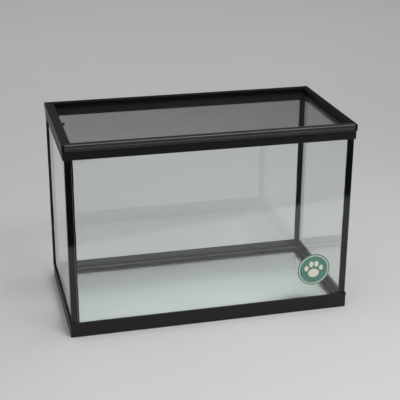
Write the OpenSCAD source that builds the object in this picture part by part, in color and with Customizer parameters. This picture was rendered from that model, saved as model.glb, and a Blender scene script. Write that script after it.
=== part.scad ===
// Glass tank cage with a black moulded frame and a woven-wire top that slides out.
// Origin: centre of the footprint, on the floor. +X along the length, +Y to the back, +Z up.
// The screen top slides out towards -X. All sizes are in millimetres.

/* [Overall] */
// Length over the top track
cage_l = 414; // [200:1:900]
// Width over the top track
cage_w = 212; // [120:1:450]
// Height from the floor to the top of the track
cage_h = 285; // [120:1:600]

/* [Glass] */
// Thickness of the four wall panes
wall_t = 3; // [2:0.5:6]
// Thickness of the floor pane
floor_t = 4; // [3:0.5:8]
// Distance from the outside of the track to the outside of the glass
glass_inset = 3; // [2.6:0.1:5]

/* [Silicone] */
// Width of the silicone joint between two panes
joint_gap = 0.8; // [0.5:0.1:1.5]
// Leg of the rounded bead inside each upright corner
corner_bead = 6.4; // [3:0.2:9]
// Leg of the rounded bead round the floor
floor_bead = 2.8; // [1:0.2:4]

/* [Base frame] */
// Height of the base frame
base_h = 22.7; // [16:0.1:40]
// Height of the rolled lip along its upper edge
lip_h = 3; // [1.5:0.1:5]
// How far the lip and the top rim stand back from the outside of the track
lip_inset = 0.8; // [0.4:0.1:1]
// How far the skirt stands back from the lip
skirt_step = 0.8; // [0.4:0.1:1]
// Width of the foot that the skirt stands on
foot_w = 3.4; // [2:0.1:8]
// Height of the ledge that carries the glass
ledge_z = 7; // [5:0.5:9]
// Thickness of that ledge
ledge_t = 2; // [1.2:0.1:3]
// How far the ledge reaches in under the floor pane
ledge_reach = 11.9; // [8:0.1:20]
// Spacing of the ribs under the ledge
rib_pitch = 46; // [20:1:80]
// Thickness of one rib
rib_t = 1.4; // [1:0.1:3]

/* [Top rim] */
// Height of the rim that caps the glass
rim_h = 12.3; // [9:0.1:25]
// Thickness of the web that lies on the glass
rim_web_t = 2; // [1.2:0.1:3]
// Thickness of the rim's wall inside the cage
rim_inner_t = 1.6; // [1.2:0.1:3]
// Depth of that inner wall, measured from the top of the rim
rim_inner_h = 5.7; // [4:0.1:9]

/* [Track] */
// Height of the track above the rim
track_h = 9.3; // [8:0.1:16]
// Width of the front and back rails and of the fixed end rail
rail_w = 9.8; // [9:0.1:14]
// Wall thickness of the rails
rail_t = 2; // [1.4:0.1:2.2]
// Thickness of the plate across each end
end_plate_t = 3.8; // [3:0.1:4.5]
// Radius of the upper outside edge of the rails
rail_round = 1.8; // [0.6:0.1:2]

/* [Screen top] */
// Thickness of the handle bar's inner wall
grip_t = 1.8; // [1.2:0.1:3]
// How far the screen frame shows past the rails and the handle bar
frame_show = 2.6; // [1.5:0.1:6]
// Thickness of the frame strip under the mesh
shelf_t = 0.8; // [0.6:0.1:1]
// Diameter of the mesh wire
wire_d = 0.45; // [0.3:0.05:0.6]
// Spacing of the mesh wires
wire_pitch = 2.5; // [2:0.1:8]
// Running clearance round the screen top
slide_gap = 0.2; // [0.1:0.05:0.3]

/* [Latch] */
// Length of the latch along the handle bar
latch_l = 16; // [10:1:30]
// Thickness of the bolt that drops behind the rim
bolt_t = 2.5; // [1.5:0.1:6]
// Length of the thumb tab
tab_l = 9; // [5:0.5:14]
// Thickness of the thumb tab
tab_t = 1.6; // [1:0.1:2]
// How far the thumb tab stands out of the handle bar
tab_reach = 4.4; // [3:0.1:6]

/* [Decal] */
// Diameter of the round decal
decal_d = 49; // [20:1:80]
// Thickness of the decal
decal_t = 0.25; // [0.1:0.05:0.5]
// Distance of its edge from the right-hand end of the glass
decal_end_gap = 26.5; // [10:0.5:90]
// Distance of its edge above the base frame
decal_up = 18.8; // [2:0.1:60]

/* [Hidden] */
$fn = 48;
eps = 0.01;

half_l = cage_l / 2;
half_w = cage_w / 2;

// Glass
glass_x = half_l - glass_inset;
glass_y = half_w - glass_inset;
in_x = glass_x - wall_t;
in_y = glass_y - wall_t;
floor_top = ledge_z + floor_t;
track_z = cage_h - track_h;
rim_z = track_z - rim_h;
glass_top = track_z - rim_web_t;

// Frame: insets are measured inwards from the outside of the track
fit_gap = 0.1;
rim_gap = 0.3;
skirt_inset = lip_inset + skirt_step;
frame_in = glass_inset - fit_gap;
ledge_in = frame_in + ledge_reach;
rim_in_out = glass_inset + wall_t + rim_gap;
rim_in = rim_in_out + rim_inner_t;
corner_r = 1.5;

// Handle bar: wide enough for the bolt to stand between the rim and the bar's inner wall
bolt_out = rim_in + 2 * slide_gap;
bolt_in = bolt_out + bolt_t;
handle_w = bolt_in + 2 * slide_gap + grip_t;

// Screen top: heights are measured up from the top of the rim
shelf_h0 = 0.1;
mesh_h0 = shelf_h0 + shelf_t;
mesh_h1 = mesh_h0 + 2 * wire_d;
bar_h = 3.4;
groove_h = bar_h + slide_gap;
bar_out = rail_t + 3 * slide_gap;
bar_in = rail_w + frame_show;
guide_w = 3.8;
clamp_in = bar_out + guide_w + slide_gap;
retainer_lip = 0.5;
lead_out = end_plate_t + 2 * slide_gap;
lead_guide_w = 1.6;
lead_clamp = lead_out + lead_guide_w;
lead_in = rail_w - slide_gap;
tail_in = handle_w + frame_show;
handle_h0 = 0.3;
mesh_left = handle_w - grip_t + slide_gap;
mesh_x0 = -half_l + mesh_left;
mesh_x1 = half_l - lead_clamp - slide_gap;
mesh_y = half_w - clamp_in - slide_gap;
cross_n = floor((mesh_x1 - mesh_x0 - wire_d) / wire_pitch);
long_n = floor((2 * mesh_y - wire_d) / wire_pitch);

// Latch: a block in the hollow handle bar, with a bolt below and a thumb tab.
// It drops until the thumb tab stands just above the mesh.
block_out = end_plate_t + 3 * slide_gap;
block_h1 = track_h - rail_t - slide_gap;
tab_below = 0.3;
tab_h0 = block_h1 - tab_below - tab_t;
latch_travel = tab_h0 - mesh_h1 - slide_gap;
block_h0 = mesh_h0 + slide_gap + latch_travel;
bolt_shoulder = 2;
bolt_l = latch_l - 2 * bolt_shoulder;

// A rectangle with rounded corners, centred, with its sides an inset in from the track's outside
module plate2d(inset, r) {
    l = cage_l - 2 * inset;
    w = cage_w - 2 * inset;
    square([l - 2 * r, w], center = true);
    square([l, w - 2 * r], center = true);
    for (x = [-1, 1], y = [-1, 1])
        translate([x * (l / 2 - r), y * (w / 2 - r)])
            circle(r);
}

// A four-sided ring between two insets and two heights
module ring(out, in, z0, z1, r = corner_r) {
    translate([0, 0, z0])
        linear_extrude(z1 - z0)
            difference() {
                plate2d(out, r);
                square([cage_l - 2 * in, cage_w - 2 * in], center = true);
            }
}

// A box from its low corner to its high corner
module block(lo, hi) {
    translate(lo)
        cube(hi - lo);
}

// Runs a profile of (inset, height above the rim) along the front, from x0 to x1
module along_front(x0, x1) {
    translate([x0, -half_w, track_z])
        rotate([90, 0, 90])
            linear_extrude(x1 - x0)
                children();
}

// Mirrors a front piece to the back
module at_back() {
    mirror([0, 1, 0])
        children();
}

// Base frame: skirt, rolled lip, ledge under the glass and ribs under the ledge
module base_frame() {
    color("#16171a") {
        ring(skirt_inset, frame_in, ledge_z - ledge_t, base_h - lip_h + eps);
        ring(lip_inset, frame_in, base_h - lip_h, base_h);
        ring(skirt_inset, skirt_inset + foot_w, 0, ledge_z - ledge_t + eps);
        ring(frame_in - eps, ledge_in, ledge_z - ledge_t, ledge_z, eps);
        base_ribs();
    }
}

module base_ribs() {
    rib_in = skirt_inset + foot_w - eps;
    rib_l = ledge_in - rib_in - rib_t;
    along_l = floor((half_l - ledge_in) / rib_pitch);
    along_w = floor((half_w - ledge_in) / rib_pitch);
    for (i = [-along_l:along_l], side = [-1, 1])
        translate([i * rib_pitch, side * (half_w - rib_in - rib_l / 2), rib_t])
            rib(rib_t, rib_l);
    for (i = [-along_w:along_w], side = [-1, 1])
        translate([side * (half_l - rib_in - rib_l / 2), i * rib_pitch, rib_t])
            rib(rib_l, rib_t);
}

module rib(l, w) {
    translate([-l / 2, -w / 2, 0])
        cube([l, w, ledge_z - ledge_t - rib_t + eps]);
}

// Glass panes: front and back run the full length, the ends stand between them
module floor_pane() {
    color("#9fb8ad")
        block([-in_x + joint_gap, -in_y + joint_gap, ledge_z], [in_x - joint_gap, in_y - joint_gap, floor_top]);
}

module front_pane() {
    color("#a9c0b6")
        block([-glass_x, -glass_y, ledge_z], [glass_x, -in_y, glass_top]);
}

module back_pane() {
    at_back()
        front_pane();
}

module left_pane() {
    color("#a9c0b6")
        block([-glass_x, -in_y + joint_gap, ledge_z], [-in_x, in_y - joint_gap, glass_top]);
}

module right_pane() {
    mirror([1, 0, 0])
        left_pane();
}

// A bead in an inside corner: a square leg with a hollow round front
module bead2d(leg) {
    difference() {
        square(leg);
        translate([leg, leg])
            circle(leg);
    }
}

// Upright silicone seam: the joint between two panes and the bead inside the corner
module front_left_seam() {
    color("#0e0f10") {
        block([-glass_x, -in_y, ledge_z], [-in_x, -in_y + joint_gap, glass_top]);
        translate([-in_x, -in_y, floor_top])
            linear_extrude(track_z - rim_inner_h - slide_gap - floor_top)
                bead2d(corner_bead);
    }
}

module front_right_seam() {
    mirror([1, 0, 0])
        front_left_seam();
}

module back_left_seam() {
    at_back()
        front_left_seam();
}

module back_right_seam() {
    at_back()
        front_right_seam();
}

// Floor seam: the joint round the floor pane and the bead above it
module front_floor_seam() {
    color("#0e0f10") {
        block([-in_x, -in_y, ledge_z], [in_x, -in_y + joint_gap, floor_top]);
        translate([-in_x + corner_bead, -in_y, floor_top])
            rotate([90, 0, 90])
                linear_extrude(2 * (in_x - corner_bead))
                    bead2d(floor_bead);
    }
}

module back_floor_seam() {
    at_back()
        front_floor_seam();
}

module left_floor_seam() {
    color("#0e0f10") {
        block([-in_x, -in_y + joint_gap, ledge_z], [-in_x + joint_gap, in_y - joint_gap, floor_top]);
        translate([-in_x, in_y - corner_bead, floor_top])
            rotate([90, 0, 0])
                linear_extrude(2 * (in_y - corner_bead))
                    bead2d(floor_bead);
    }
}

module right_floor_seam() {
    mirror([1, 0, 0])
        left_floor_seam();
}

// Top rim: a channel that caps the upper edges of the glass
module top_rim() {
    color("#191a1d") {
        ring(lip_inset, frame_in, rim_z, track_z);
        ring(frame_in - eps, rim_in, glass_top, track_z, eps);
        ring(rim_in_out, rim_in, track_z - rim_inner_h, glass_top + eps, eps);
    }
}

// Section of the front and back rails: outer web, rounded top and inner wall
module rail2d() {
    difference() {
        union() {
            square([rail_w, track_h - rail_round]);
            translate([rail_round, 0])
                square([rail_w - rail_round, track_h]);
            translate([rail_round, track_h - rail_round])
                circle(rail_round);
        }
        translate([rail_t, -eps])
            square([rail_w - 2 * rail_t, track_h - rail_t + eps]);
        translate([rail_w - rail_t - eps, -eps])
            square([rail_t + 2 * eps, groove_h + eps]);
    }
}

module front_rail() {
    color("#202124")
        along_front(-half_l + end_plate_t + 2 * slide_gap, half_l - end_plate_t)
            rail2d();
}

module back_rail() {
    at_back()
        front_rail();
}

// Fixed end rail: the plate across the right-hand end and a flange between the rails
module end_rail() {
    flange_y = half_w - rail_w;
    color("#1c1d20") {
        block([half_l - end_plate_t, -half_w, track_z], [half_l, half_w, cage_h]);
        block([half_l - rail_w, -flange_y, cage_h - rail_t], [half_l - end_plate_t + eps, flange_y, cage_h]);
        block([half_l - rail_w, -flange_y, track_z + groove_h], [half_l - rail_w + rail_t, flange_y, cage_h]);
    }
}

// Round decal on the outside of the front pane
module decal() {
    color("#c98a2b")
        translate([glass_x - decal_end_gap - decal_d / 2, -glass_y, base_h + decal_up + decal_d / 2])
            rotate([90, 0, 0])
                cylinder(h = decal_t, d = decal_d, $fn = 96);
}

// Handle bar of the screen top: end plate, top flange and inner wall, hollow below
module handle_bar() {
    grip_y = half_w - rail_w - slide_gap;
    handle_z0 = track_z + handle_h0;
    color("#232427")
        difference() {
            union() {
                block([-half_l, -half_w, handle_z0], [-half_l + end_plate_t, half_w, cage_h]);
                block([-half_l + end_plate_t - eps, -grip_y, cage_h - rail_t], [-half_l + handle_w, grip_y, cage_h]);
                block([-half_l + handle_w - grip_t, -grip_y, track_z + mesh_h1], [-half_l + handle_w, grip_y, cage_h]);
            }
            latch_slot();
        }
}

// Slot in the handle bar's inner wall for the thumb tab and its travel
module latch_slot() {
    slot_y = tab_l / 2 + slide_gap;
    high = track_z + tab_h0 + tab_t + slide_gap;
    block([-half_l + handle_w - grip_t - 1, -slot_y, track_z], [-half_l + handle_w + 1, slot_y, high]);
}

// Thin frame strips under the mesh, with a thicker guide along the outer edge
module lead_bar() {
    bar_y = half_w - bar_out;
    guide_x = half_l - lead_out;
    color("#1b1c1f") {
        block([half_l - lead_in, -bar_y, track_z + shelf_h0], [guide_x, bar_y, track_z + mesh_h0]);
        block([guide_x - lead_guide_w, -bar_y, track_z + shelf_h0], [guide_x, bar_y, track_z + bar_h]);
    }
}

module tail_bar() {
    tail_y = half_w - bar_in;
    slot_y = bolt_l / 2 + slide_gap;
    color("#1b1c1f")
        difference() {
            block([-half_l + end_plate_t, -tail_y, track_z + shelf_h0], [-half_l + tail_in, tail_y, track_z + mesh_h0]);
            block([-half_l + bolt_out - slide_gap, -slot_y, track_z - 1],
                  [-half_l + bolt_in + slide_gap, slot_y, track_z + mesh_h0 + 1]);
        }
}

module front_side_bar() {
    color("#1b1c1f")
        along_front(-half_l + end_plate_t, half_l - lead_in) {
            translate([bar_out, shelf_h0])
                square([bar_in - bar_out, shelf_t]);
            translate([bar_out, shelf_h0])
                square([guide_w, bar_h - shelf_h0]);
        }
}

module back_side_bar() {
    at_back()
        front_side_bar();
}

// Strips that clamp the mesh down on the frame
module lead_retainer() {
    clamp_y = half_w - bar_in;
    color("#1f2023")
        block([half_l - lead_in, -clamp_y, track_z + mesh_h1], [half_l - lead_clamp, clamp_y, track_z + bar_h]);
}

module front_retainer() {
    color("#1f2023")
        along_front(-half_l + handle_w, half_l - lead_clamp)
            polygon([[clamp_in - slide_gap, mesh_h1], [bar_in, mesh_h1], [bar_in, mesh_h1 + retainer_lip],
                     [rail_w, bar_h], [clamp_in - slide_gap, bar_h]]);
}

module back_retainer() {
    at_back()
        front_retainer();
}

// Woven mesh, drawn as straight wires in two touching layers
module long_wires() {
    color("#8b9090")
        for (i = [0:long_n])
            translate([mesh_x0, (i - long_n / 2) * wire_pitch, track_z + mesh_h0 + 1.5 * wire_d])
                rotate([0, 90, 0])
                    cylinder(h = mesh_x1 - mesh_x0, d = wire_d, $fn = 16);
}

module cross_wires() {
    mid_x = (mesh_x0 + mesh_x1) / 2;
    color("#8b9090")
        for (i = [0:cross_n])
            translate([mid_x + (i - cross_n / 2) * wire_pitch, mesh_y, track_z + mesh_h0 + wire_d / 2])
                rotate([90, 0, 0])
                    cylinder(h = 2 * mesh_y, d = wire_d, $fn = 16);
}

// Latch, drawn up in its open position
module latch() {
    color("#2a2b2e") {
        block([-half_l + block_out, -latch_l / 2, track_z + block_h0],
              [-half_l + bolt_in, latch_l / 2, track_z + block_h1]);
        block([-half_l + bolt_out, -bolt_l / 2, track_z + shelf_h0],
              [-half_l + bolt_in, bolt_l / 2, track_z + block_h0 + eps]);
        block([-half_l + bolt_in - eps, -tab_l / 2, track_z + tab_h0],
              [-half_l + handle_w + tab_reach, tab_l / 2, track_z + tab_h0 + tab_t]);
    }
}

base_frame();
floor_pane();
front_pane();
back_pane();
left_pane();
right_pane();
front_left_seam();
front_right_seam();
back_left_seam();
back_right_seam();
front_floor_seam();
back_floor_seam();
left_floor_seam();
right_floor_seam();
top_rim();
front_rail();
back_rail();
end_rail();
decal();
handle_bar();
lead_bar();
tail_bar();
front_side_bar();
back_side_bar();
lead_retainer();
front_retainer();
back_retainer();
long_wires();
cross_wires();
latch();
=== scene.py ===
# %% [markdown]
# # A glass tank cage with a sliding screen top
# The cage is five panes of float glass glued with black silicone. A moulded base frame and a moulded rim
# hold the panes, and a track on the rim carries a screen of woven wire that slides out to the left. This
# script makes the visible surfaces round that frame. Lengths are in metres, with +Z up and +Y to the back.

import math

import bmesh
import bpy
import numpy as np
from mathutils import Matrix, Vector


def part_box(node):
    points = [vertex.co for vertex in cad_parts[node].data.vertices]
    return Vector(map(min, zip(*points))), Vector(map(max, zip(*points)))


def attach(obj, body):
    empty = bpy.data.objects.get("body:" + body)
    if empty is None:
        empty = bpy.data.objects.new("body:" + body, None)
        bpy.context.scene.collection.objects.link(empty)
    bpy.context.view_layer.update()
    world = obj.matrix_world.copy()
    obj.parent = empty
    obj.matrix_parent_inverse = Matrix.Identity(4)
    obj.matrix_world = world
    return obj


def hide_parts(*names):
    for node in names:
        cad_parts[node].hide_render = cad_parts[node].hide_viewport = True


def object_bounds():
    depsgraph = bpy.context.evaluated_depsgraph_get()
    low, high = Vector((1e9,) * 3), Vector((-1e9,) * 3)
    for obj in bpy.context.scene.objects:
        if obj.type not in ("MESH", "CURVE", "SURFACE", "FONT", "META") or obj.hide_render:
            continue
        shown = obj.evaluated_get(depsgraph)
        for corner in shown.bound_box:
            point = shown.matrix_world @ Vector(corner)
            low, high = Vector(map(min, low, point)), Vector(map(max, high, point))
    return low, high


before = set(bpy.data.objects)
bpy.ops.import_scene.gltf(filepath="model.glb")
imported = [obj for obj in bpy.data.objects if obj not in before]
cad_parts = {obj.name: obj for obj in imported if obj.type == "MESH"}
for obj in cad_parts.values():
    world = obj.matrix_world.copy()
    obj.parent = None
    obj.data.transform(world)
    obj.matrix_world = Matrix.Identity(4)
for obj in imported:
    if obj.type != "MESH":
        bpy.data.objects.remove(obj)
cad_low, cad_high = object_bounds()
MM = 0.001

# %% [markdown]
# ## Reading places from the CAD nodes
# Every place below is measured on a CAD node, so the visible pieces follow the design when it changes.
# `corners` returns a node's lowest and highest corner as two numpy arrays, which are easy to do sums with.


# %% Corners of a node
def corners(node):
    """The lowest and highest corner of a CAD node, as two arrays of x, y, z."""
    low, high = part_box(node)
    return np.array(low), np.array(high)


glass_low, glass_high = corners("front_pane")
glass_x = glass_high[0]
glass_y = -glass_low[1]
wall_t = glass_high[1] - glass_low[1]
floor_top = corners("floor_pane")[1][2]
base_top = corners("base_frame")[1][2]
rim_low, rim_high = corners("top_rim")
print("glass", round(2 * glass_x, 4), "x", round(2 * glass_y, 4), "wall", round(wall_t, 4))

# %% [markdown]
# ## The camera
# The camera stands in front, a little to the left of the tank, and looks down on it. A long lens keeps the
# upright corners almost parallel. Its turn is built from three directions: where it looks, what is to its
# right, and what is up. A small roll is added because a hand-set tripod is never quite level.

# %% Camera
CAMERA_PLACE = np.array([-0.3399, -1.3642, 0.7047])
CAMERA_YAW = math.radians(14.262)
CAMERA_PITCH = math.radians(21.536)
CAMERA_ROLL = math.radians(0.318)
CAMERA_LENS = 91.16


def camera_axes(yaw, pitch, roll):
    """Forward, right and up of a camera turned by yaw from +Y towards +X, tipped down by pitch and rolled."""
    forward = np.array([math.sin(yaw) * math.cos(pitch), math.cos(yaw) * math.cos(pitch), -math.sin(pitch)])
    level = np.array([math.cos(yaw), -math.sin(yaw), 0.0])
    upright = np.cross(level, forward)
    right = math.cos(roll) * level + math.sin(roll) * upright
    up = math.cos(roll) * upright - math.sin(roll) * level
    return forward, right, up


def add_camera():
    """Makes the camera and puts it in place. Its own axes are right, up and backwards."""
    data = bpy.data.cameras.new("camera")
    data.lens = CAMERA_LENS
    camera = bpy.data.objects.new("camera", data)
    bpy.context.scene.collection.objects.link(camera)
    forward, right, up = camera_axes(CAMERA_YAW, CAMERA_PITCH, CAMERA_ROLL)
    turn = np.eye(4)
    turn[:3, 0], turn[:3, 1], turn[:3, 2], turn[:3, 3] = right, up, -forward, CAMERA_PLACE
    camera.matrix_world = Matrix(turn.tolist())
    bpy.context.scene.camera = camera
    return camera


camera = add_camera()
print("camera", [round(x, 3) for x in camera.location], "lens", camera.data.lens)

# %% [markdown]
# ## Shader sums as Python sums
# A procedural finish is arithmetic on noise. Adding every Math node by hand hides the idea, so the class
# `Value` wraps a shader socket, and `a * 2 + b` then adds the nodes for it. The reflected forms let a plain
# number stand on the left, as in `1 - mask`. `Finish` is one material with a single method that adds nodes.


# %% Value and Finish
class Value:
    """A number that changes over a surface: one shader output that takes part in Python sums."""

    def __init__(self, finish, socket):
        self.finish = finish
        self.socket = socket

    def sum_node(self, operation, first, second=0.5):
        return self.finish.node("Math", {"operation": operation}, {0: first, 1: second})

    def __add__(self, other):
        return self.sum_node("ADD", self, other)

    def __sub__(self, other):
        return self.sum_node("SUBTRACT", self, other)

    def __rsub__(self, other):
        return self.sum_node("SUBTRACT", other, self)

    def __mul__(self, other):
        return self.sum_node("MULTIPLY", self, other)

    def __truediv__(self, other):
        return self.sum_node("DIVIDE", self, other)

    def __abs__(self):
        return self.sum_node("ABSOLUTE", self)

    def above(self, limit):
        return self.sum_node("GREATER_THAN", self, limit)

    def below(self, limit):
        return self.sum_node("LESS_THAN", self, limit)

    __radd__ = __add__
    __rmul__ = __mul__


class Finish:
    """One material in the making. `node` adds any node: settings first, then its sockets' values or links."""

    def __init__(self, name, owner=None, output="OutputMaterial"):
        self.material = owner or bpy.data.materials.new(name)
        self.material.use_nodes = True
        self.tree = self.material.node_tree
        self.tree.nodes.clear()
        self.output = self.tree.nodes.new("ShaderNode" + output)

    def node(self, kind, settings=None, sockets=None, out=0):
        made = self.tree.nodes.new("ShaderNode" + kind)
        for key, setting in (settings or {}).items():
            setattr(made, key, setting)
        for key, given in (sockets or {}).items():
            if isinstance(given, Value):
                self.tree.links.new(given.socket, made.inputs[key])
            else:
                made.inputs[key].default_value = given
        return Value(self, made.outputs[out])

    def split(self, vector):
        """The x, y and z of a vector, as three values."""
        sockets = self.node("SeparateXYZ", {}, {"Vector": vector}).socket.node.outputs
        return [Value(self, socket) for socket in sockets]

    def show(self, shader):
        self.tree.links.new(shader.socket, self.output.inputs["Surface"])
        return self.material


# %% [markdown]
# ## Small helpers for patterns
# Moulded plastic, silicone and glass all need the same few things: the point on the object, noise at a real
# size, and a blend of two colours. A pattern's size is given in millimetres, because that is how a maker
# would measure it, and `noise` turns it into the noise node's scale.


# %% Pattern helpers
def grey(level, tint=(1.0, 1.0, 1.0)):
    """A dark neutral colour with a slight tint, as the four numbers of a colour socket."""
    return (level * tint[0], level * tint[1], level * tint[2], 1.0)


def place_on(finish):
    """The point on the object, in metres."""
    return finish.node("TexCoord", out="Object")


def stretched(finish, factors):
    """The point with each axis multiplied, so that noise read there becomes streaks."""
    return finish.node("VectorMath", {"operation": "MULTIPLY"}, {0: place_on(finish), 1: factors})


def noise(finish, size_mm, detail=2.0, point=None, roughness=0.5):
    """Noise from 0 to 1 whose lumps are about size_mm across."""
    sockets = {"Vector": point or place_on(finish), "Scale": 1000.0 / size_mm, "Detail": detail}
    sockets["Roughness"] = roughness
    return finish.node("TexNoise", {}, sockets, out="Fac")


MIX_SHARE, MIX_FIRST, MIX_SECOND, MIX_RESULT = 0, 6, 7, 2


def blend(finish, share, first, second):
    """Two colours mixed by a share from 0 to 1. A Mix node keeps one set of sockets for colours."""
    sockets = {MIX_SHARE: share, MIX_FIRST: first, MIX_SECOND: second}
    return finish.node("Mix", {"data_type": "RGBA"}, sockets, out=MIX_RESULT)


def bump(finish, height, strength, distance_mm):
    """A bump that reads height from 0 to 1 as a real depth in millimetres."""
    sockets = {"Height": height, "Strength": strength, "Distance": distance_mm * MM}
    return finish.node("Bump", {}, sockets)


# %% [markdown]
# ## Black moulded plastic
# The base, the rim, the track and the screen frame are injection moulded in black polystyrene. Its skin is
# satin, not flat black: the tool leaves a fine grain, the flow of the melt leaves long faint streaks, and
# outside edges are rubbed a little smoother and paler. On the two long track rails those edges are made
# much paler still, and there the paleness is a painted highlight. The pieces store the edge mark in an
# attribute, which is 1 at an outside edge, so no shader trick is needed to find the edges.


# %% Moulded plastic
SHADED_ENDS_FROM = cad_high[1] - 0.5 * MM
ALONG_X = (0.04, 1.0, 1.0)
ALONG_Y = (1.0, 0.04, 1.0)


def moulded_plastic(name, level, gloss, grain_mm, streak_axis, mirror=0.32, rub_and_highlight_level=1.9):
    """Black plastic: level is its lightness, gloss its roughness, and streak_axis (x, y, z) the flow.

    The end faces that look to the front and the back are painted darker, as shade, and are matt."""
    finish = Finish(name)
    grain = noise(finish, grain_mm, detail=3.0)
    cloud = noise(finish, 38.0, detail=2.0)
    streaks = noise(finish, 2.2, detail=2.0, point=stretched(finish, streak_axis))
    rub_and_highlight = finish.node("Attribute", {"attribute_name": "rub_and_highlight"}, out="Fac")
    wear_and_highlight = rub_and_highlight * (0.45 + 0.55 * cloud)
    mottle = cloud * 0.6 + streaks * 0.4
    tone = blend(finish, mottle, grey(level * 0.82), grey(level * 1.22, (1.0, 1.0, 0.97)))
    # Outside edges painted paler: a little for wear, and on the tracks, by a much higher level, as a painted
    # highlight.
    colour = blend(finish, wear_and_highlight, tone, grey(level * rub_and_highlight_level, (1.0, 1.0, 0.97)))
    rough = gloss - 0.05 + 0.07 * streaks + 0.06 * grain - 0.05 * wear_and_highlight
    if streak_axis == ALONG_Y:
        _, depth, _ = finish.split(place_on(finish))
        shaded_ends = abs(depth).above(SHADED_ENDS_FROM)
        # painted shade: end faces that look to the front and back are painted near black
        colour = blend(finish, shaded_ends, colour, grey(0.002))
        rough = rough + 0.35 * shaded_ends
    height = grain * 0.7 + streaks * 0.3
    sockets = {"Base Color": colour, "Roughness": rough, "IOR": 1.52, "Specular IOR Level": mirror}
    sockets["Normal"] = bump(finish, height, 0.35, 0.05)
    return finish.show(finish.node("BsdfPrincipled", {}, sockets))


# One black plastic throughout. The front track is painted lighter, as lit, and the back track darker, as
# shaded, though the two rails are one moulding; both have their edges raised to a painted highlight.
plastic = {
    "base": moulded_plastic("black_base_plastic", 0.008, 0.40, 0.9, ALONG_X),
    "rim": moulded_plastic("black_rim_plastic", 0.003, 0.44, 0.9, ALONG_X),
    "front_track": moulded_plastic("front_track_lit_plastic", 0.024, 0.36, 0.7, ALONG_X, rub_and_highlight_level=6.5),
    "back_track": moulded_plastic("back_track_shaded_plastic", 0.005, 0.46, 0.7, ALONG_X, mirror=0.14,
                                  rub_and_highlight_level=9.0),
    "track_end": moulded_plastic("black_end_plastic", 0.007, 0.44, 0.7, ALONG_Y, mirror=0.22),
    "handle": moulded_plastic("black_handle_plastic", 0.021, 0.40, 0.6, ALONG_Y, mirror=0.30),
    "screen_frame": moulded_plastic("black_screen_plastic", 0.004, 0.48, 0.7, ALONG_X, mirror=0.14),
    "latch": moulded_plastic("black_latch_plastic", 0.010, 0.34, 0.5, ALONG_Y),
}
print("plastics:", sorted(plastic))

# %% [markdown]
# ## Float glass
# Plain soda-lime glass passes nearly all light, with a faint green tint from its iron, and mirrors about
# four percent at each face. Rays from lamps can't find their way through a bent surface, so for those rays
# only, the glass is swapped for a clear shader with the same tint. The faces of float glass are never quite
# flat, which makes mirrored edges swim a little, and that is a very wide, very shallow bump.


# %% Float glass
def float_glass(name, tint, swim_mm=90.0):
    """Clear glass with a tint, a faint swim in its faces, and no shadow of its own beyond that tint."""
    finish = Finish(name)
    swim = noise(finish, swim_mm, detail=1.0)
    film = noise(finish, 45.0, detail=4.0)
    rough = 0.004 + 0.012 * film
    sockets = {"Base Color": tint, "Roughness": rough, "IOR": 1.55, "Transmission Weight": 1.0}
    sockets["Normal"] = bump(finish, swim, 0.5, 0.03)
    clear = finish.node("BsdfPrincipled", {}, sockets)
    face_tint = tuple(math.sqrt(c) for c in tint[:3]) + (1.0,)
    lamp_clear = finish.node("BsdfTransparent", {}, {"Color": face_tint})
    lamp_ray = finish.node("LightPath", out="Is Shadow Ray")
    return finish.show(finish.node("MixShader", {}, {0: lamp_ray, 1: clear, 2: lamp_clear}))


wall_glass = float_glass("wall_float_glass", (0.955, 0.985, 0.970, 1.0))
floor_glass = float_glass("floor_float_glass", (0.968, 0.992, 0.982, 1.0))
print("glass:", wall_glass.name, floor_glass.name)

# %% [markdown]
# ## Black silicone
# The joints are run by hand with a cartridge gun and smoothed with a wet finger. The skin is almost
# black and fairly glossy, with slow ripples along the bead and a fine orange peel.


# %% Silicone
def black_silicone():
    """Glossy black rubber with ripples across the bead."""
    finish = Finish("black_silicone")
    ripple = noise(finish, 14.0, detail=2.0)
    peel = noise(finish, 1.3, detail=2.0)
    colour = blend(finish, ripple, grey(0.0035), grey(0.0070, (1.0, 1.0, 0.95)))
    sockets = {"Base Color": colour, "Roughness": 0.30 + 0.18 * ripple, "IOR": 1.42,
               "Specular IOR Level": 0.35}
    sockets["Normal"] = bump(finish, ripple * 0.7 + peel * 0.3, 0.4, 0.25)
    return finish.show(finish.node("BsdfPrincipled", {}, sockets))


# Where the painted highlight line runs on the bonded silicone: its inset, its drift and its half width.
HIGHLIGHT_LINE_IN = 9.6 * MM
HIGHLIGHT_LINE_DRIFT = 0.5 * MM
HIGHLIGHT_LINE_HALF = 0.40 * MM


def bonded_silicone():
    """The same rubber where it is stuck to glass: no air between them, so nothing there to mirror.

    A thin paler line runs down it: a painted highlight, for the light caught on the slope of the bead."""
    finish = Finish("bonded_silicone")
    ripple = noise(finish, 9.0, detail=2.0)
    sideways, _, _ = finish.split(place_on(finish))
    highlight_line_at = glass_x - HIGHLIGHT_LINE_IN + HIGHLIGHT_LINE_DRIFT * noise(finish, 60.0, detail=1.0)
    painted_highlight_line = abs(abs(sideways) - highlight_line_at).below(HIGHLIGHT_LINE_HALF)
    colour = blend(finish, ripple, grey(0.0025, (1.0, 1.0, 0.85)), grey(0.0050, (1.0, 1.0, 0.85)))
    # painted highlight: a thin pale line on the bonded silicone
    colour = blend(finish, painted_highlight_line * (0.5 + 0.5 * ripple), colour, grey(0.150, (1.0, 0.97, 0.86)))
    sockets = {"Base Color": colour, "Roughness": 0.6 + 0.2 * ripple, "Specular IOR Level": 0.0}
    return finish.show(finish.node("BsdfPrincipled", {}, sockets))


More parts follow.
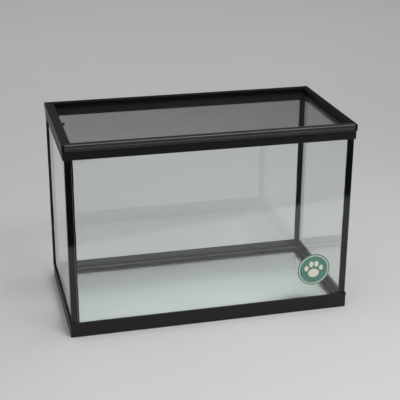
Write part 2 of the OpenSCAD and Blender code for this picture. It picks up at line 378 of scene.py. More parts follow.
def painted_highlight_film():
    """The thin film at a bead's foot, painted pale grey as a highlight along the bead's edge."""
    finish = Finish("painted_highlight_film")
    patch = noise(finish, 11.0, detail=3.0)
    colour = blend(finish, patch, grey(0.12, (1.0, 0.98, 0.90)), grey(0.26, (1.0, 0.98, 0.90)))
    sockets = {"Base Color": colour, "Roughness": 0.4 + 0.2 * patch}
    return finish.show(finish.node("BsdfPrincipled", {}, sockets))


silicone = black_silicone()
stuck_silicone = bonded_silicone()
highlight_film_silicone = painted_highlight_film()

# %% [markdown]
# ## Screen wire
# The screen is woven from thin coated wire. Each wire is dark, a little metallic where the coating is thin,
# and its tone drifts from wire to wire and along its length.


# %% Screen wire
def coated_wire():
    """Dark coated wire with a slight metallic share."""
    finish = Finish("dark_screen_wire")
    drift = noise(finish, 26.0, detail=2.0)
    speck = noise(finish, 1.1, detail=2.0)
    colour = blend(finish, drift, grey(0.010), grey(0.020, (1.0, 1.0, 0.98)))
    sockets = {"Base Color": colour, "Metallic": 0.2 * speck, "Roughness": 0.42 + 0.18 * drift,
               "Specular IOR Level": 0.3}
    sockets["Normal"] = bump(finish, speck, 0.3, 0.03)
    return finish.show(finish.node("BsdfPrincipled", {}, sockets))


screen_wire = coated_wire()

# %% [markdown]
# ## The printed seal
# A small round film sticker sits low on the front pane. Its print is a plain design of its own: one green,
# a thin cream ring near the edge, and a cream paw. The ring is a distance from the centre and the paw is
# five ellipses, so the print needs no picture.


# %% Printed seal
def within(finish, across, upward, centre, radii):
    """1 inside an ellipse on the seal's face, 0 outside."""
    side = (across - centre[0]) / radii[0]
    lift = (upward - centre[1]) / radii[1]
    return (side * side + lift * lift).below(1.0)


def printed_seal(centre, radius):
    """Green film with a cream ring and a cream paw, with each place as a share of the radius."""
    finish = Finish("printed_seal_film")
    from_centre = finish.node("Mapping", {"vector_type": "TEXTURE"},
                              {"Vector": place_on(finish), "Location": centre})
    side, _, lift = finish.split(from_centre)
    across, upward = side / radius, lift / radius
    spread = finish.node("Math", {"operation": "SQRT"}, {0: across * across + upward * upward})
    fleck = noise(finish, 1.6, detail=3.0)
    green, cream = (0.060, 0.200, 0.160, 1.0), (0.700, 0.680, 0.560, 1.0)
    ring = spread.above(0.87) * spread.below(0.92)
    colour = blend(finish, ring, green, cream)
    paw = within(finish, across, upward, (0.0, -0.22), (0.34, 0.27))
    toes = [((-0.46, 0.10), (0.125, 0.17)), ((-0.16, 0.36), (0.135, 0.19)),
            ((0.16, 0.36), (0.135, 0.19)), ((0.46, 0.10), (0.125, 0.17))]
    for toe_centre, toe_radii in toes:
        paw = paw + within(finish, across, upward, toe_centre, toe_radii)
    colour = blend(finish, paw.above(0.5), colour, cream)
    colour = blend(finish, fleck * 0.05, colour, cream)
    sockets = {"Base Color": colour, "Roughness": 0.34 + 0.10 * fleck, "Coat Weight": 0.25,
               "Coat Roughness": 0.2}
    sockets["Normal"] = bump(finish, fleck, 0.15, 0.02)
    return finish.show(finish.node("BsdfPrincipled", {}, sockets))


seal_low, seal_high = corners("decal")
seal_centre = (seal_low + seal_high) / 2
seal_radius = (seal_high[0] - seal_low[0]) / 2
seal_film = printed_seal(tuple(seal_centre), seal_radius)
print("seal radius", round(seal_radius, 4))

# %% [markdown]
# ## Turning arrays into pieces
# A piece is a table of points and a table of faces. `new_piece` puts them into a mesh, turns the faces
# outwards, and can store the edge-mark attribute, which the plastics paint as wear and, on the tracks, as a
# painted highlight. Faces are smooth only where they meet at a gentle angle, so flat faces stay flat and
# rounded edges stay round.


# %% Mesh helper
def new_piece(name, points, faces, material, body, replaced=(), slot=None, rub_and_highlight=None, smooth_deg=40.0):
    """A mesh object from an array of points and a list of faces, riding on a CAD body."""
    mesh = bpy.data.meshes.new(name)
    mesh.from_pydata(np.asarray(points, float).tolist(), [], [list(map(int, f)) for f in faces])
    if rub_and_highlight is not None:
        mesh.attributes.new("rub_and_highlight", "FLOAT", "POINT").data.foreach_set("value", np.asarray(rub_and_highlight, np.float32))
    turned = bmesh.new()
    turned.from_mesh(mesh)
    bmesh.ops.recalc_face_normals(turned, faces=turned.faces)
    turned.to_mesh(mesh)
    turned.free()
    mesh.shade_smooth()
    mesh.set_sharp_from_angle(angle=math.radians(smooth_deg))
    mesh.materials.append(material)
    piece = bpy.data.objects.new(name, mesh)
    bpy.context.scene.collection.objects.link(piece)
    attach(piece, body)
    if replaced:
        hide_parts(*replaced)
    return piece


def grid_faces(rows, columns, wrap_rows, wrap_columns):
    """Quads between neighbouring rows and columns of a grid of points, row by row."""
    row = np.arange(rows if wrap_rows else rows - 1)
    column = np.arange(columns if wrap_columns else columns - 1)
    i, j = [a.ravel() for a in np.meshgrid(row, column, indexing="ij")]
    i2, j2 = (i + 1) % rows, (j + 1) % columns
    return np.stack([i * columns + j, i2 * columns + j, i2 * columns + j2, i * columns + j2], axis=1)


# %% [markdown]
# ## Outlines with rounded corners
# A moulding's section is a polygon whose corners are all rounded a little. Each corner is given as a point
# and a radius. The arc that rounds it touches both sides, so it starts at radius / tan(half the corner's
# angle) from the corner. Convex corners with a radius get the edge mark: the paler skin of a handled edge,
# and on the tracks a painted highlight.


# %% Rounded outline
ARC_STEPS = 4


def rounded_outline(corner_list, rub_and_highlight_from=0.0003):
    """Points round a closed polygon of (across, up, radius) corners, and each point's edge mark (wear and
    painted highlight).
    """
    spec = np.array(corner_list, float)
    at, radius = spec[:, :2], spec[:, 2]
    back = np.roll(at, 1, axis=0) - at
    ahead = np.roll(at, -1, axis=0) - at
    back /= np.linalg.norm(back, axis=1, keepdims=True)
    ahead /= np.linalg.norm(ahead, axis=1, keepdims=True)
    half_angle = np.arccos(np.clip((back * ahead).sum(1), -1, 1)) / 2
    reach = radius / np.tan(half_angle)
    middle = back + ahead
    middle /= np.linalg.norm(middle, axis=1, keepdims=True)
    centre = at + middle * (radius / np.sin(half_angle))[:, None]
    start = at + back * reach[:, None] - centre
    end = at + ahead * reach[:, None] - centre
    turn = np.arctan2(start[:, 0] * end[:, 1] - start[:, 1] * end[:, 0], (start * end).sum(1))
    share = np.linspace(0, 1, ARC_STEPS + 1)
    angle = turn[:, None] * share[None, :]
    cos, sin = np.cos(angle), np.sin(angle)
    x = centre[:, :1] + start[:, :1] * cos - start[:, 1:] * sin
    y = centre[:, 1:] + start[:, :1] * sin + start[:, 1:] * cos
    points = np.stack([x.ravel(), y.ravel()], axis=1)
    area = np.sum(at[:, 0] * np.roll(at[:, 1], -1) - np.roll(at[:, 0], -1) * at[:, 1])
    cross = back[:, 0] * ahead[:, 1] - back[:, 1] * ahead[:, 0]
    convex = (cross * area < 0) & (radius >= rub_and_highlight_from)
    rub_and_highlight = np.repeat(convex.astype(float), ARC_STEPS + 1) * np.tile(np.sin(share * math.pi), len(spec))
    return points, rub_and_highlight


# %% [markdown]
# ## Two ways to carry an outline
# The base and the rim are closed frames: their section runs round a rectangle with rounded corners. The
# rails and beads are straight: their section runs along one line and has a cap at each end. Both are one
# grid, with the path's stations as rows and the section's points as columns.


# %% Sweeps
CORNER_STEPS = 6


def round_path(inset, half_x, half_y, corner):
    """Points of a rounded rectangle for every inset: an array of stations by insets by (x, y)."""
    radius = np.maximum(corner - inset, 0.0003)
    centre_x = half_x - inset - radius
    centre_y = half_y - inset - radius
    quarter = np.linspace(0, math.pi / 2, CORNER_STEPS + 1)
    stations = []
    for turn, (sx, sy) in enumerate([(1, 1), (-1, 1), (-1, -1), (1, -1)]):
        angle = quarter[:, None] + turn * math.pi / 2
        x = sx * centre_x[None, :] + radius[None, :] * np.cos(angle)
        y = sy * centre_y[None, :] + radius[None, :] * np.sin(angle)
        stations.append(np.stack([x, y], axis=2))
    return np.concatenate(stations)


def frame_ring(name, outline, half_x, half_y, corner, **how):
    """Carries an outline of (inset, height) round a rounded rectangle and closes it."""
    section, rub_and_highlight = outline
    path = round_path(section[:, 0], half_x, half_y, corner)
    height = np.broadcast_to(section[:, 1], path.shape[:2])
    points = np.concatenate([path, height[:, :, None]], axis=2)
    rows, columns = path.shape[:2]
    faces = grid_faces(rows, columns, True, True)
    return new_piece(name, points.reshape(-1, 3), faces, rub_and_highlight=np.tile(rub_and_highlight, rows), **how)


def straight_bar(name, outline, start, end, across, up, **how):
    """Carries an outline from start to end. across and up are the directions of its two numbers."""
    section, rub_and_highlight = outline
    ends = np.array([start, end], float)
    flat = section[:, :1] * np.array(across, float) + section[:, 1:] * np.array(up, float)
    points = ends[:, None, :] + flat[None, :, :]
    count = len(section)
    faces = [list(f) for f in grid_faces(2, count, False, True)]
    faces += [list(range(count)), list(range(count, 2 * count))]
    return new_piece(name, points.reshape(-1, 3), faces, rub_and_highlight=np.tile(rub_and_highlight, 2), **how)


# %% [markdown]
# ## The base frame
# The base is a skirt that stands on a thin foot, with a rolled lip along its upper edge and a ledge inside
# that carries the glass. Below the lip its outside is set in by a fraction of a millimetre. The section is
# drawn from the CAD node's own heights.

# %% Base frame
base_low, base_high = corners("base_frame")
glass_seat = corners("floor_pane")[0][2]
LIP_H = 3.0 * MM
SKIRT_STEP = 0.8 * MM
LEDGE_T = 2.0 * MM
FOOT_W = 3.4 * MM
LEDGE_REACH = 11.9 * MM
frame_in = base_high[1] - glass_y - 0.1 * MM
base_outline = rounded_outline([
    (SKIRT_STEP, 0.0, 0.35 * MM),
    (SKIRT_STEP, base_top - LIP_H - 0.3 * MM, 0.25 * MM),
    (0.0, base_top - LIP_H + 0.2 * MM, 0.7 * MM),
    (0.0, base_top, 1.1 * MM),
    (frame_in, base_top, 0.4 * MM),
    (frame_in, glass_seat, 0.1 * MM),
    (frame_in + LEDGE_REACH, glass_seat, 0.5 * MM),
    (frame_in + LEDGE_REACH, glass_seat - LEDGE_T, 0.5 * MM),
    (SKIRT_STEP + FOOT_W, glass_seat - LEDGE_T, 0.8 * MM),
    (SKIRT_STEP + FOOT_W, 0.0, 0.35 * MM),
])
base_shell = frame_ring(
    "base_shell", base_outline, base_high[0], base_high[1], 1.5 * MM,
    material=plastic["base"], body="tank", replaced=["base_frame"], slot="base_plastic")
print("base shell faces", len(base_shell.data.polygons))

# %% [markdown]
# Under the ledge, thin ribs tie it to the foot. They are plain blades with a rounded lower edge, spaced
# evenly from the middle of each side.


# %% Base ribs
RIB_PITCH = 46.0 * MM
RIB_T = 1.4 * MM


def blade_row(count, centre, step, along, outward, length, bottom, top):
    """Points and faces of a row of upright blades: each is a box with its lower edge narrowed."""
    index = np.arange(-count, count + 1)
    base = np.array(centre)[None, :] + index[:, None] * np.array(step)[None, :]
    section = np.array([(-0.5, 1.0), (0.5, 1.0), (0.5, 0.18), (0.25, 0.0), (-0.25, 0.0), (-0.5, 0.18)])
    side = section[:, :1] * RIB_T * np.array(along)
    lift = (bottom + section[:, 1:] * (top - bottom)) * np.array([0.0, 0.0, 1.0])
    ends = np.array([-0.5, 0.5])[:, None] * length * np.array(outward)
    points = base[:, None, None, :] + ends[None, :, None, :] + (side + lift)[None, None, :, :]
    one = [list(f) for f in grid_faces(2, 6, False, True)] + [[0, 1, 2, 3, 4, 5], [6, 7, 8, 9, 10, 11]]
    faces = [[k + 12 * i for k in f] for i in range(len(index)) for f in one]
    return points.reshape(-1, 3), faces


def base_ribs():
    """Rows of blades under the ledge on all four sides, in one mesh."""
    rib_out = SKIRT_STEP + FOOT_W - 0.1 * MM
    length = frame_in + LEDGE_REACH - rib_out - RIB_T
    far_x = base_high[0] - rib_out - length / 2
    far_y = base_high[1] - rib_out - length / 2
    count_x = int((base_high[0] - frame_in - LEDGE_REACH) / RIB_PITCH)
    count_y = int((base_high[1] - frame_in - LEDGE_REACH) / RIB_PITCH)
    top = glass_seat - LEDGE_T + 0.1 * MM
    rows = [(count_x, (0, s * far_y, 0), (RIB_PITCH, 0, 0), (1, 0, 0), (0, 1, 0)) for s in (-1, 1)]
    rows += [(count_y, (s * far_x, 0, 0), (0, RIB_PITCH, 0), (0, 1, 0), (1, 0, 0)) for s in (-1, 1)]
    points, faces = [], []
    for count, centre, step, along, outward in rows:
        row_points, row_faces = blade_row(count, centre, step, along, outward, length, RIB_T, top)
        offset = sum(len(p) for p in points)
        faces += [[k + offset for k in f] for f in row_faces]
        points.append(row_points)
    return np.concatenate(points), faces


rib_points, rib_faces = base_ribs()
ribs = new_piece("base_ribs", rib_points, rib_faces, plastic["base"], "tank", slot="base_plastic")
print("ribs", len(rib_points) // 12)

# %% [markdown]
# ## The top rim
# The rim is a channel turned upside down. Its outer wall hides the top edge of the glass, its web lies on
# the glass, and a shorter inner wall keeps the panes from leaning in.

# %% Top rim
RIM_INNER_T = 1.6 * MM
RIM_WEB_T = 2.0 * MM
RIM_INNER_H = 5.7 * MM
rim_inner_out = rim_high[1] - glass_y + wall_t + 0.3 * MM
rim_outline = rounded_outline([
    (0.0, rim_low[2], 0.5 * MM),
    (0.0, rim_high[2], 0.7 * MM),
    (rim_inner_out + RIM_INNER_T, rim_high[2], 0.4 * MM),
    (rim_inner_out + RIM_INNER_T, rim_high[2] - RIM_INNER_H, 0.5 * MM),
    (rim_inner_out, rim_high[2] - RIM_INNER_H, 0.4 * MM),
    (rim_inner_out, rim_high[2] - RIM_WEB_T, 0.1 * MM),
    (frame_in, rim_high[2] - RIM_WEB_T, 0.1 * MM),
    (frame_in, rim_low[2], 0.4 * MM),
])
rim = frame_ring(
    "rim_channel", rim_outline, rim_high[0], rim_high[1], 1.5 * MM,
    material=plastic["rim"], body="tank", replaced=["top_rim"], slot="rim_plastic")
print("rim height", round((rim_high[2] - rim_low[2]) / MM, 2), "mm")

# %% [markdown]
# ## The track
# The front and back rails are a hollow section with a slot inside, where the screen frame runs. The outer
# face bows in slightly towards its rounded top edge, so it catches the light from above as a thin bright
# line, and a painted highlight on the rounded edges strengthens that line. The two rails are one moulding,
# but the front rail is painted lighter, as lit, and the back rail darker, as shaded. The right-hand rail
# closes the end with a thick plate.


# %% Track rails
RAIL_T = 2.0 * MM
GROOVE_H = 3.6 * MM


def rail_outline(width, height):
    """Section of a rail as (inset, height above the rim), with a bowed outer face."""
    return rounded_outline([
        (0.0, 0.0, 0.3 * MM),
        (0.0, 0.45 * height, 9.0 * MM),
        (0.45 * MM, height, 1.6 * MM),
        (width, height, 0.5 * MM),
        (width, GROOVE_H, 0.4 * MM),
        (width - RAIL_T, GROOVE_H, 0.3 * MM),
        (width - RAIL_T, height - RAIL_T, 0.3 * MM),
        (RAIL_T, height - RAIL_T, 0.3 * MM),
        (RAIL_T, 0.0, 0.3 * MM),
    ])


def long_rail(name, node, side):
    """A rail in its own copy of the plastic, painted lighter at the front and darker at the back as light and
    shade: side is -1 at the front and 1 at the back.
    """
    low, high = corners(node)
    outline = rail_outline(high[1] - low[1], high[2] - low[2])
    edge = low[1] if side < 0 else high[1]
    start, end = (low[0], edge, low[2]), (high[0], edge, low[2])
    return straight_bar(name, outline, start, end, (0, -side, 0), (0, 0, 1),
                        material=plastic[name], body="tank", replaced=[node], slot="track_plastic")


front_track = long_rail("front_track", "front_rail", -1)
back_track = long_rail("back_track", "back_rail", 1)
print("rails", front_track.name, back_track.name)

# %% [markdown]
# ## Bevelled copies of CAD nodes
# Small parts such as the handle, the latch and the clamping strips already have the right shape in CAD, but
# their edges are knife sharp. A copy of the node's mesh is welded, its flat triangles are joined into whole
# faces, and a Bevel modifier rounds what is left. Rounding is what makes a small plastic part look moulded.


# %% Bevelled copy
def softened(name, node, material, body, width_mm, segments=3):
    """A welded copy of a CAD node with its edges rounded by width_mm."""
    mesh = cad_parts[node].data.copy()
    mesh.name = name
    mesh.materials.clear()
    mesh.materials.append(material)
    work = bmesh.new()
    work.from_mesh(mesh)
    bmesh.ops.remove_doubles(work, verts=work.verts, dist=0.002 * MM)
    bmesh.ops.dissolve_limit(work, angle_limit=math.radians(1.0), verts=work.verts, edges=work.edges)
    bmesh.ops.recalc_face_normals(work, faces=work.faces)
    work.to_mesh(mesh)
    work.free()
    mesh.shade_smooth()
    mesh.set_sharp_from_angle(angle=math.radians(40.0))
    piece = bpy.data.objects.new(name, mesh)
    bpy.context.scene.collection.objects.link(piece)
    bevel = piece.modifiers.new("rounded_edges", "BEVEL")
    bevel.width = width_mm * MM
    bevel.segments = segments
    bevel.limit_method = "ANGLE"
    bevel.angle_limit = math.radians(35.0)
    bevel.harden_normals = True
    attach(piece, body)
    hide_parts(node)
    return piece


softened("end_track", "end_rail", plastic["track_end"], "tank", 0.6)
softened("handle", "handle_bar", plastic["handle"], "screen_top", 0.6)
softened("thumb_latch", "latch", plastic["latch"], "latch", 0.35)
softened("screen_lead", "lead_bar", plastic["screen_frame"], "screen_top", 0.2)
softened("screen_tail", "tail_bar", plastic["screen_frame"], "screen_top", 0.2)
softened("screen_front", "front_side_bar", plastic["screen_frame"], "screen_top", 0.2)
softened("screen_back", "back_side_bar", plastic["screen_frame"], "screen_top", 0.2)
softened("clamp_lead", "lead_retainer", plastic["screen_frame"], "screen_top", 0.25)
softened("clamp_front", "front_retainer", plastic["screen_frame"], "screen_top", 0.2)
softened("clamp_back", "back_retainer", plastic["screen_frame"], "screen_top", 0.2)
print("softened copies made")

# %% [markdown]
# ## The panes
# Cut glass is dangerous, so every pane's edges are ground to a narrow 45 degree arris. A pane is a slab of
# eight corners with a one-segment bevel, which is exactly what the grinder does.


# %% Panes
ARRIS = 0.35


def pane(name, node, material):
    """A glass slab with ground edges, in the place of a CAD pane."""
    piece = softened(name, node, material, "tank", ARRIS, segments=1)
    piece.data.shade_flat()
    return piece


pane("front_glass", "front_pane", wall_glass)
pane("back_glass", "back_pane", wall_glass)
pane("left_glass", "left_pane", wall_glass)
pane("right_glass", "right_pane", wall_glass)
pane("floor_glass", "floor_pane", floor_glass)
print("panes made")

# %% [markdown]
# ## Silicone beads
# A bead fills the inside corner between two panes, and a thin joint of the same silicone reaches on between
# their edges. The bead's front is a hollow round, because a fingertip smoothed it, and its legs wander by
# a few tenths of a millimetre along the way. The wander is a sum of three slow waves, so the section's size
# is a function of the distance along the bead. Silicone wets the glass, so it reaches a hair into it here,
# and then no air shows between the two.


# %% Beads
BEAD_STATIONS = 90
BEAD_ARC = 8
WETTING = 0.05 * MM
JOINT_GAP = 0.8 * MM
FILM_T = 0.12 * MM


def wander(distance, seed):
    """A slow irregular wave between about -1 and 1 along a distance in metres: three sines added up."""
    first = np.sin(distance * 61.0 + seed * 1.7)
    second = np.sin(distance * 143.0 + seed * 2.9)
    third = np.sin(distance * 317.0 + seed * 4.3)
    return 0.5 * first + 0.32 * second + 0.18 * third


def bead(name, corner, direction, length, sides, leg, joint, seed, highlight_film_width=0.3 * MM):
    """A bead along a direction from an inside corner.

    sides are the two wall directions out of the corner. The hollow front is a quarter circle about the point
    one leg out from both walls: (leg * (1 - sin), leg * (1 - cos)), with each leg grown by `wander`. A film
    runs on from its foot for the given width, painted pale grey as a highlight, and joint is the rest of the
    section, between the panes."""
    distance = np.linspace(0, length, BEAD_STATIONS)
    angle = np.linspace(0, math.pi / 2, BEAD_ARC)
    reach = [leg * (1 + 0.04 * wander(distance, seed + shift)) for shift in (0, 5)]
    hollow = np.stack([reach[0][:, None] * (1 - np.sin(angle)),
                       reach[1][:, None] * (1 - np.cos(angle))], axis=2)
    hollow[:, 0, 1] += FILM_T
    hollow[:, -1, 0] -= WETTING
    film_end = reach[0] + highlight_film_width * (1 + 0.3 * wander(distance, seed + 9))
    tip = np.stack([film_end, 0 * distance - WETTING], axis=1)
    still = np.broadcast_to(np.array(joint), (BEAD_STATIONS, len(joint), 2))
    section = np.concatenate([tip[:, None, :], hollow, still], axis=1)
    line = np.array(corner) + distance[:, None] * np.array(direction)
    along_sides = section[:, :, :1] * np.array(sides[0]) + section[:, :, 1:] * np.array(sides[1])
    points = line[:, None, :] + along_sides
    columns = section.shape[1]
    faces = [list(f) for f in grid_faces(BEAD_STATIONS, columns, False, True)]
    faces += [list(range(columns)), list(range((BEAD_STATIONS - 1) * columns, BEAD_STATIONS * columns))]
    piece = new_piece(name + "_bead", points.reshape(-1, 3), faces, silicone, "tank",
                      replaced=[name + "_seam"], slot="silicone", smooth_deg=60)
    piece.data.materials.append(stuck_silicone)
    piece.data.materials.append(highlight_film_silicone)
    column = np.append(np.tile(np.arange(columns), BEAD_STATIONS - 1), [1, 1])
    skin = np.where(column >= BEAD_ARC, 1, np.where(column == 0, 2, 0))
    piece.data.polygons.foreach_set("material_index", skin.astype(np.int32))
    return piece


# %% Upright and floor beads
CORNER_LEG = 6.4 * MM
WIDE_LEG = 8.2 * MM
FLOOR_LEG = 2.8 * MM
# The film at the back floor bead's foot is wider, so its painted highlight reads as a thin light line along
# the back floor.
BACK_HIGHLIGHT_FILM_WIDTH = 2.4 * MM
inner_x, inner_y = glass_x - wall_t, glass_y - wall_t
floor_t = floor_top - glass_seat
bead_top = rim_high[2] - RIM_INNER_H - 0.2 * MM
upright_joint = [(-WETTING, JOINT_GAP), (-wall_t, JOINT_GAP), (-wall_t, -WETTING)]
floor_joint = [(-WETTING, -floor_t), (JOINT_GAP, -floor_t), (JOINT_GAP, -WETTING)]
uprights = [("front_left", -1, -1), ("front_right", 1, -1), ("back_left", -1, 1), ("back_right", 1, 1)]
for seed, (name, sx, sy) in enumerate(uprights):
    foot = (sx * inner_x, sy * inner_y, floor_top)
    bead(name, foot, (0, 0, 1), bead_top - floor_top, ((-sx, 0, 0), (0, -sy, 0)),
         WIDE_LEG if name == "front_left" else CORNER_LEG, upright_joint, seed)
run_x, run_y = inner_x - 0.5 * CORNER_LEG, inner_y - 0.5 * CORNER_LEG
for seed, sign in enumerate([-1, 1]):
    bead(["front_floor", "back_floor"][seed], (-run_x, sign * inner_y, floor_top), (1, 0, 0), 2 * run_x,
         ((0, -sign, 0), (0, 0, 1)), FLOOR_LEG, floor_joint, seed + 10,
         highlight_film_width=BACK_HIGHLIGHT_FILM_WIDTH if sign > 0 else 0.3 * MM)
    bead(["left_floor", "right_floor"][seed], (sign * inner_x, -run_y, floor_top), (0, 1, 0), 2 * run_y,
         ((-sign, 0, 0), (0, 0, 1)), FLOOR_LEG, floor_joint, seed + 20)
print("beads made, top at", round(bead_top, 4))

# %% [markdown]
# Some silicone is always pushed out of the back corners when the side panes are pressed on. It is left there
# as a thin rounded cord down the outside of the edge, between the base and the rim.


# %% Squeezed-out cords
CORD_OUT = 2.1 * MM
CORD_BACK = 3.6 * MM
CORD_SIDES = 10


def squeezed_cord(name, side):
    """A half ellipse carried up the outside of a back corner, its width and reach grown by `wander`."""
    height = np.linspace(base_top - 0.4 * MM, rim_low[2] + 0.4 * MM, BEAD_STATIONS)
    angle = np.linspace(-math.pi / 2, math.pi / 2, CORD_SIDES)
    out = CORD_OUT * (1 + 0.07 * wander(height, side + 31))[:, None] * np.cos(angle)[None, :]
    along = CORD_BACK / 2 * (1 + 0.10 * wander(height, side + 37))[:, None] * np.sin(angle)[None, :]
    x = side * (glass_x - WETTING + out)
    y = glass_y - CORD_BACK / 2 - WETTING + along
    points = np.stack([x, y, np.broadcast_to(height[:, None], x.shape)], axis=2)
    faces = [list(f) for f in grid_faces(BEAD_STATIONS, CORD_SIDES, False, True)]
    far_end = range((BEAD_STATIONS - 1) * CORD_SIDES, BEAD_STATIONS * CORD_SIDES)
    faces += [list(range(CORD_SIDES)), list(far_end)]
    return new_piece(name, points.reshape(-1, 3), faces, silicone, "tank", slot="silicone", smooth_deg=60)


squeezed_cord("back_left_cord", -1)
squeezed_cord("back_right_cord", 1)
print("cords stand", CORD_OUT / MM, "mm proud")

# %% [markdown]
# ## The woven screen
# In a plain weave every wire goes over one crossing wire and under the next, and its neighbour does the
# opposite. So the height of wire i at crossing j is half a diameter times -1 to the power i + j, and the
# crossing wires take the opposite sign. With hundreds of wires, each one is a four-sided tube with one ring
# of points at every crossing.

# %% Woven wires
WIRE_D = 0.45 * MM
WIRE_PITCH = 2.5 * MM
TUBE_SIDES = 4
DRAWN_SHARE = 0.94


def crossing_places(low, high):
    """Where the wires of one set stand, evenly spaced about the middle between two outer faces."""
    count = round((high - low - WIRE_D) / WIRE_PITCH) + 1
    return (low + high) / 2 + (np.arange(count) - (count - 1) / 2) * WIRE_PITCH


def woven_set(name, node, run_axis, ends, own_places, other_places, middle_z, sign):
    """One set of wires: run_axis is 0 along x or 1 along y, and sign says which set goes over first.

    Each wire is a four-sided tube, drawn a little slimmer than the wire, at DRAWN_SHARE of its size."""
    stations = np.concatenate([ends[:1], other_places, ends[1:]])
    j = np.arange(len(stations))
    i = np.arange(len(own_places))
    lift = sign * (WIRE_D / 2) * np.where((i[:, None] + j[None, :]) % 2 == 0, 1.0, -1.0)
    angle = (np.arange(TUBE_SIDES) + 0.5) * 2 * math.pi / TUBE_SIDES
    radius = WIRE_D / 2 * DRAWN_SHARE
    points = np.empty((len(i), len(j), TUBE_SIDES, 3))
    points[..., run_axis] = stations[None, :, None]
    points[..., 1 - run_axis] = own_places[:, None, None] + radius * np.cos(angle)
    points[..., 2] = middle_z + lift[:, :, None] * DRAWN_SHARE + radius * np.sin(angle) * 0.9
    tube = grid_faces(len(j), TUBE_SIDES, False, True)
    caps = np.array([range(TUBE_SIDES), range((len(j) - 1) * TUBE_SIDES, len(j) * TUBE_SIDES)])
    one = np.concatenate([tube, caps])
    faces = (one[None, :, :] + (i * len(j) * TUBE_SIDES)[:, None, None]).reshape(-1, TUBE_SIDES)
    return new_piece(name, points.reshape(-1, 3), faces, screen_wire, "screen_top",
                     replaced=[node], slot="mesh_wire", smooth_deg=180)


long_low, long_high = corners("long_wires")
cross_low, cross_high = corners("cross_wires")
rows = crossing_places(long_low[1], long_high[1])
columns = crossing_places(cross_low[0], cross_high[0])
weave_z = (cross_low[2] + long_high[2]) / 2
long_ends, cross_ends = np.array([long_low[0], long_high[0]]), np.array([cross_low[1], cross_high[1]])
weft = woven_set("screen_wires_long", "long_wires", 0, long_ends, rows, columns, weave_z, 1)
warp = woven_set("screen_wires_cross", "cross_wires", 1, cross_ends, columns, rows, weave_z, -1)
wire_faces = len(weft.data.polygons) + len(warp.data.polygons)
print("wires", len(rows), "x", len(columns), "triangles", 2 * wire_faces)

# %% [markdown]
# ## The seal
# The sticker is a thin disc with the CAD decal's radius. A disc is a polar grid: rings of points from the
# middle out, then over the edge and back.


# %% Seal disc
SEAL_STEPS = 288


def film_back():
    """Off-white backing, seen from inside the tank. Its glow is painted light, standing in for light that
    thin film passes from the front.
    """
    finish = Finish("seal_backing")
    fleck = noise(finish, 2.0, detail=2.0)
    colour = blend(finish, fleck, (0.80, 0.80, 0.78, 1.0), (0.88, 0.88, 0.86, 1.0))
    sockets = {"Base Color": colour, "Roughness": 0.5 + 0.1 * fleck}
    sockets.update({"Emission Color": colour, "Emission Strength": 0.27})
    return finish.show(finish.node("BsdfPrincipled", {}, sockets))


def seal_disc():
    """Polar grid: each ring is a share of the seal's radius, at even steps of the angle."""
    turn = np.linspace(0, 2 * math.pi, SEAL_STEPS, endpoint=False)
    edge = np.full_like(turn, seal_radius)
    thick = seal_high[1] - seal_low[1]
    share = np.array([0.15, 0.5, 0.9, 0.992, 1.0, 1.0, 0.5])
    depth = np.array([0.0, 0.0, 0.0, 0.0, 0.25, 1.0, 1.0]) * thick
    radius = share[:, None] * edge[None, :]
    points = np.stack([seal_centre[0] + radius * np.cos(turn),
                       np.broadcast_to(seal_low[1] + depth[:, None], radius.shape),
                       seal_centre[2] + radius * np.sin(turn)], axis=2)
    count = len(turn)
    faces = [list(f) for f in grid_faces(len(share), count, False, True)]
    faces += [list(range(count)), list(range((len(share) - 1) * count, len(share) * count))]
    disc = new_piece("printed_seal", points.reshape(-1, 3), faces, seal_film, "tank",
                     replaced=["decal"], slot="decal_film", smooth_deg=50)
    disc.data.materials.append(film_back())
    behind = np.array([polygon.normal.y for polygon in disc.data.polygons]) > 0.5
    disc.data.polygons.foreach_set("material_index", behind.astype(np.int32))
    return disc


seal = seal_disc()
print("seal faces", len(seal.data.polygons))

# %% [markdown]
# ## Studio
# The tank stands on a wide pale table under four soft-edged lamps, two in front and two behind, with grey
# light from all round. Glossy things show what stands round them, so there is a dark card too: the black
# flag lies where the table would end in front of the tank. Its edges fade out. Only rays that have met a
# mirror find it, and it gives the front pane the soft edge that a table's end would give it.


# %% Floor, flag and lamps
def stage_sheet(name, centre, size_x, size_y, turn_deg, material):
    """A flat rectangle turned about the upright axis."""
    turn = math.radians(turn_deg)
    local = np.array([(-1, -1), (1, -1), (1, 1), (-1, 1)]) * np.array([size_x, size_y]) / 2
    x = centre[0] + local[:, 0] * math.cos(turn) - local[:, 1] * math.sin(turn)
    y = centre[1] + local[:, 0] * math.sin(turn) + local[:, 1] * math.cos(turn)
    points = np.stack([x, y, np.full(4, centre[2])], axis=1)
    mesh = bpy.data.meshes.new(name)
    mesh.from_pydata(points.tolist(), [], [(0, 1, 2, 3)])
    mesh.materials.append(material)
    sheet = bpy.data.objects.new(name, mesh)
    bpy.context.scene.collection.objects.link(sheet)
    return sheet


def table_finish():
    """Matt pale laminate with a barely visible cloud in its tone."""
    finish = Finish("pale_table")
    cloud = noise(finish, 400.0, detail=2.0)
    colour = blend(finish, cloud, (0.590, 0.590, 0.585, 1.0), (0.615, 0.615, 0.610, 1.0))
    sockets = {"Base Color": colour, "Roughness": 0.75, "Specular IOR Level": 0.2}
    return finish.show(finish.node("BsdfPrincipled", {}, sockets))


def fade(finish, distance, start, end):
    """0 up to start, 1 from end on, and an even S curve between the two."""
    settings = {"interpolation_type": "SMOOTHSTEP"}
    return finish.node("MapRange", settings, {"Value": distance, 1: start, 2: end, 3: 0.0, 4: 1.0})


FLAG_NEAR = (-0.008, 0.022)
FLAG_FAR = (0.36, 0.62)
FLAG_ASIDE = (0.40, 0.75)


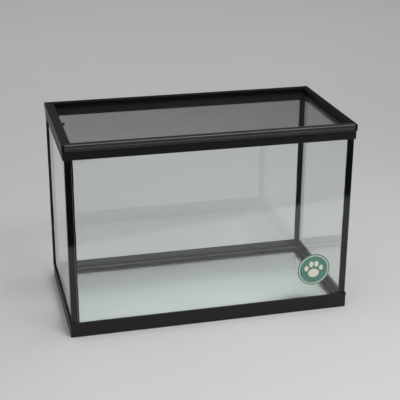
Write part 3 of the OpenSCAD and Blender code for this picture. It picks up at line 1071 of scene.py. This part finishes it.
def flag_finish(edge_middle, outward):
    """Black cloth with frayed, see-through edges. Only rays that met a mirror on their way find it."""
    finish = Finish("black_flag")
    from_edge = finish.node("VectorMath", {"operation": "SUBTRACT"}, {0: place_on(finish), 1: edge_middle})
    ahead = finish.node("VectorMath", {"operation": "DOT_PRODUCT"}, {0: from_edge, 1: outward}, out="Value")
    aside = finish.node("VectorMath", {"operation": "DOT_PRODUCT"},
                        {0: from_edge, 1: (-outward[1], outward[0], 0.0)}, out="Value")
    cover = fade(finish, ahead, *FLAG_NEAR) * (1 - fade(finish, ahead, *FLAG_FAR))
    cover = cover * (1 - fade(finish, abs(aside), *FLAG_ASIDE))
    mirrors_met = finish.node("LightPath", out="Glossy Depth").above(0.5)
    cloth = finish.node("BsdfDiffuse", {}, {"Color": grey(0.04)})
    nothing = finish.node("BsdfTransparent")
    return finish.show(finish.node("MixShader", {}, {0: mirrors_met * cover, 1: nothing, 2: cloth}))


def add_lamp(name, kind, place, settings):
    """A lamp of one kind at a place, with its settings."""
    data = bpy.data.lights.new(name, kind)
    for key, setting in settings.items():
        setattr(data, key, setting)
    lamp = bpy.data.objects.new(name, data)
    lamp.location = place
    bpy.context.scene.collection.objects.link(lamp)
    return lamp


LAMP_RADIUS = 0.3


def snooted_lamp(name, place, aim, cone_deg, power):
    """A round lamp in a snoot, which throws a pool with a soft edge where it is aimed."""
    settings = {"energy": power, "spot_size": math.radians(cone_deg), "spot_blend": 1.0,
                "shadow_soft_size": LAMP_RADIUS}
    lamp = add_lamp(name, "SPOT", place, settings)
    lamp.rotation_mode = "QUATERNION"
    lamp.rotation_quaternion = (Vector(place) - Vector(aim)).to_track_quat("Z", "Y")
    return lamp


SEEN_LEVEL = 0.45
BOUNCED_LEVEL = 0.78


def studio_world():
    """Grey where it is seen, brighter for bounced rays, and darker the higher a mirrored ray climbs."""
    world = bpy.data.worlds.new("studio")
    finish = Finish("studio", world, "OutputWorld")
    _, _, climb = finish.split(finish.node("TexCoord", out="Generated"))
    low_light = finish.node("MapRange", {}, {"Value": climb, 1: 0.0, 2: 0.28, 3: 0.40, 4: 0.07})
    mirrored = finish.node("LightPath", out="Is Glossy Ray")
    bounced = finish.node("LightPath", out="Is Diffuse Ray")
    level = mirrored * low_light + bounced * BOUNCED_LEVEL
    level = level + (1 - mirrored) * (1 - bounced) * SEEN_LEVEL
    finish.show(finish.node("Background", {}, {"Strength": level}))
    bpy.context.scene.world = world


studio_world()
EDGE_TURN_DEG = -11.6
FLAG_SIZE = 1.6
table = stage_sheet("table", (0, 0, 0), 16.0, 16.0, 0.0, table_finish())
edge_turn = math.radians(EDGE_TURN_DEG)
edge_middle = (0.107, -0.460, 0.0)
outward = (math.sin(edge_turn), -math.cos(edge_turn), 0.0)
flag_centre = np.array(edge_middle) + 0.45 * FLAG_SIZE * np.array(outward)
flag = stage_sheet("flag", (flag_centre[0], flag_centre[1], 0.001), FLAG_SIZE, FLAG_SIZE, EDGE_TURN_DEG,
                   flag_finish(edge_middle, outward))
flag.visible_camera = False
flag.visible_diffuse = False
flag.visible_shadow = False
snooted_lamp("front_pool", (0.3, -1.1, 1.9), (0.1, -0.53, 0.0), 66.0, 66.0)
snooted_lamp("right_key", (0.9, -1.2, 1.8), (0.25, -0.45, 0.0), 60.0, 34.0)
snooted_lamp("back_glow", (0.2, 0.3, 2.6), (0.25, 1.35, 0.0), 60.0, 28.0)
snooted_lamp("far_glow", (0.3, 1.6, 3.2), (0.3, 1.9, 0.0), 75.0, 25.0)
bpy.context.scene.view_settings.view_transform = "Standard"
print("studio ready")
